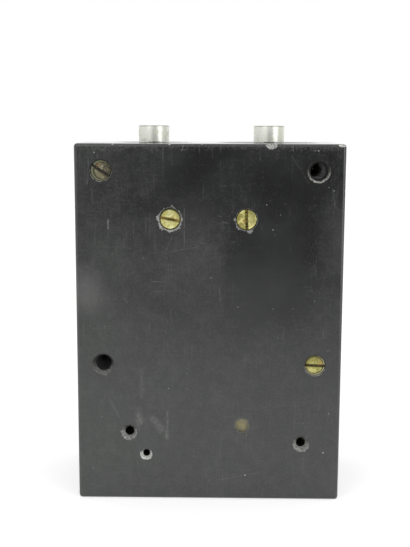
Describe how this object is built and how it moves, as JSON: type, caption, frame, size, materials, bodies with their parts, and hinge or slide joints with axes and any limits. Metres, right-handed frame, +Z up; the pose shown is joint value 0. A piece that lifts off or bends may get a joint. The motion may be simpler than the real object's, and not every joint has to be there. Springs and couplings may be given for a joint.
{
  "type": "blasting galvanometer",
  "caption": "Blasting galvanometer: a moving-coil meter and its cell in a flat hard rubber case, with contact posts on top, a glazed dial and a zero screw.",
  "frame": {"origin": "middle of the object's box at its base, on the surface that it stands on", "axes": "+Z up, to the contact posts; -Y out of the plain back that the picture shows; +Y out of the dial side"},
  "size_m": [0.0888, 0.051, 0.1268],
  "materials": {
    "hard_rubber": "satin black hard rubber, faded and scratched",
    "bright_brass": "worn bright brass",
    "dull_brass": "tarnished brass",
    "nickel": "worn nickel plate",
    "glass": "clear flat glass",
    "steel": "machined soft iron and steel",
    "magnet_steel": "blackened magnet steel",
    "aluminium": "bent aluminium strip",
    "pointer_black": "aluminium, blackened",
    "copper_wire": "wound copper wire",
    "spring_bronze": "rolled spring bronze",
    "dial_card": "aged cream dial",
    "cell_card": "waxed card jacket",
    "red_fibre": "vulcanised fibre",
    "lead_cover": "waxed cotton over wire"
  },
  "bodies": {
    "case": {"case_body": "hard_rubber", "front_panel": "hard_rubber", "battery_cover": "hard_rubber", "case_screw_low_right": "bright_brass", "movement_screw_left": "bright_brass", "movement_screw_right": "bright_brass", "cover_screw_left": "bright_brass", "cover_screw_right": "bright_brass", "panel_insert_top_left": "bright_brass", "panel_insert_top_right": "bright_brass", "panel_insert_low_left": "bright_brass", "panel_insert_low_right": "bright_brass", "bridge_front": "bright_brass", "bridge_rear": "bright_brass", "jewel_screw_front": "bright_brass", "jewel_screw_rear": "bright_brass", "dial_pillar_left": "bright_brass", "dial_pillar_right": "bright_brass", "dial_screw_left": "bright_brass", "dial_screw_right": "bright_brass", "case_screw_top_left": "dull_brass", "contact_stud": "dull_brass", "contact_nut": "dull_brass", "post_washer_left": "dull_brass", "post_washer_right": "dull_brass", "post_lug_left": "dull_brass", "post_lug_right": "dull_brass", "post_nut_left": "dull_brass", "post_nut_right": "dull_brass", "movement_base": "dull_brass", "core_strap": "dull_brass", "post_left": "nickel", "post_right": "nickel", "window_bezel": "nickel", "window_glass": "glass", "pole_shoe_left": "steel", "pole_shoe_right": "steel", "core": "steel", "magnet": "magnet_steel", "resistor_winding": "copper_wire", "contact_left": "spring_bronze", "contact_right": "spring_bronze", "dial_plate": "dial_card", "battery_cell": "cell_card", "resistor_spool": "red_fibre", "lead_post_left": "lead_cover", "lead_movement": "lead_cover", "lead_cell_left": "lead_cover", "lead_cell_right": "lead_cover"},
    "zero_screw": {"zero_screw": "bright_brass"},
    "zero_arm": {"zero_arm": "bright_brass"},
    "needle": {"coil_former": "aluminium", "coil_winding": "copper_wire", "arbor_front": "steel", "arbor_rear": "steel", "hairspring_front": "spring_bronze", "hairspring_rear": "spring_bronze", "pointer": "pointer_black", "balance_weight": "bright_brass"}
  },
  "joints": [
    {"name": "zero_screw_turn", "type": "hinge", "parent": "case", "child": "zero_screw", "pos_m": [0, 0.0225, 0.0493], "axis": [0, -1, 0], "range_deg": [-40, 40]},
    {"name": "zero_arm_turn", "type": "hinge", "parent": "case", "child": "zero_arm", "pos_m": [0, 0.01175, 0.068], "axis": [0, -1, 0], "range_deg": [-3.6, 3.6]},
    {"name": "needle_swing", "type": "hinge", "parent": "zero_arm", "child": "needle", "pos_m": [0, -0.00325, 0.068], "axis": [0, -1, 0], "range_deg": [-2, 92], "stiffness_Nm_per_rad": 0.00002}
  ],
  "couplings": [
    {"joint": "zero_arm_turn", "follows": "zero_screw_turn", "ratio": -0.088}
  ]
}
